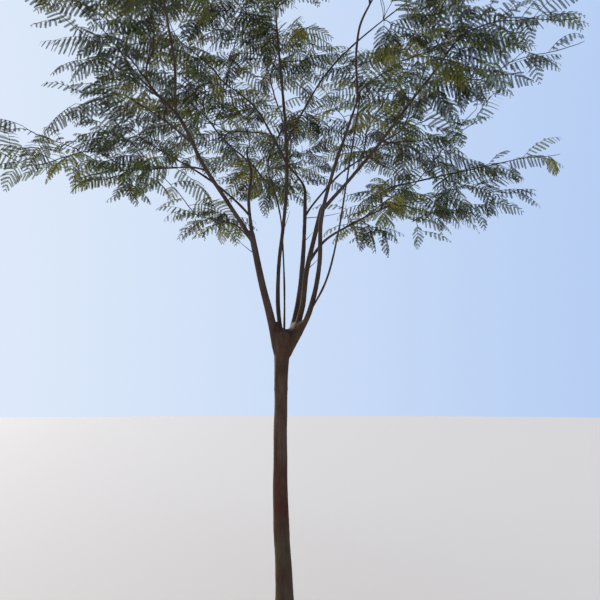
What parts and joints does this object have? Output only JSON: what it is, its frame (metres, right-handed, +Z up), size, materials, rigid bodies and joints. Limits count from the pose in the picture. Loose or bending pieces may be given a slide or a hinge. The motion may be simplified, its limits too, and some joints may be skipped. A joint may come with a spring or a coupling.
{
  "type": "flame tree",
  "caption": "Young flame tree with a straight slender trunk that forks at head height into steep limbs under a wide, open crown of feathery leaf masses.",
  "frame": {"origin": "middle of the flat cut under the trunk, at ground level", "axes": "+Z up the trunk, +X towards the tree's right as seen from its front, +Y towards its back"},
  "size_m": [5.6392, 5.0807, 6.426],
  "materials": {
    "bark": "matte",
    "foliage": "matte"
  },
  "bodies": {
    "root": {"back_bough": "bark", "back_left_bough": "bark", "back_right_bough": "bark", "centre_limb": "bark", "centre_shoot": "bark", "front_left_bough": "bark", "front_right_bough": "bark", "left_bough": "bark", "left_cross_bough": "bark", "left_droop_bough": "bark", "left_limb": "bark", "left_mid_bough": "bark", "left_top_bough": "bark", "left_upright": "bark", "long_left_bough": "bark", "low_right_bough": "bark", "middle_limb": "bark", "outer_shoot": "bark", "right_back_bough": "bark", "right_bough": "bark", "right_far_bough": "bark", "right_limb": "bark", "right_mid_bough": "bark", "right_top_bough": "bark", "right_upright": "bark", "trunk": "bark", "back_left_mass": "foliage", "back_mass": "foliage", "back_right_mass": "foliage", "back_top_mass": "foliage", "centre_back_mass": "foliage", "centre_low_mass": "foliage", "centre_top_mass": "foliage", "crown_top_mass": "foliage", "front_left_mass": "foliage", "front_mass": "foliage", "front_right_mass": "foliage", "front_top_mass": "foliage", "left_back_mass": "foliage", "left_droop_mass": "foliage", "left_high_mass": "foliage", "left_inner_mass": "foliage", "left_low_mass": "foliage", "left_mid_mass": "foliage", "left_tip_mass": "foliage", "left_top_mass": "foliage", "left_upper_back_mass": "foliage", "right_far_mass": "foliage", "right_high_mass": "foliage", "right_inner_mass": "foliage", "right_low_back_mass": "foliage", "right_low_mass": "foliage", "right_low_tip_mass": "foliage", "right_mid_mass": "foliage", "right_tip_mass": "foliage", "right_top_mass": "foliage", "right_upper_back_mass": "foliage"}
  },
  "joints": []
}
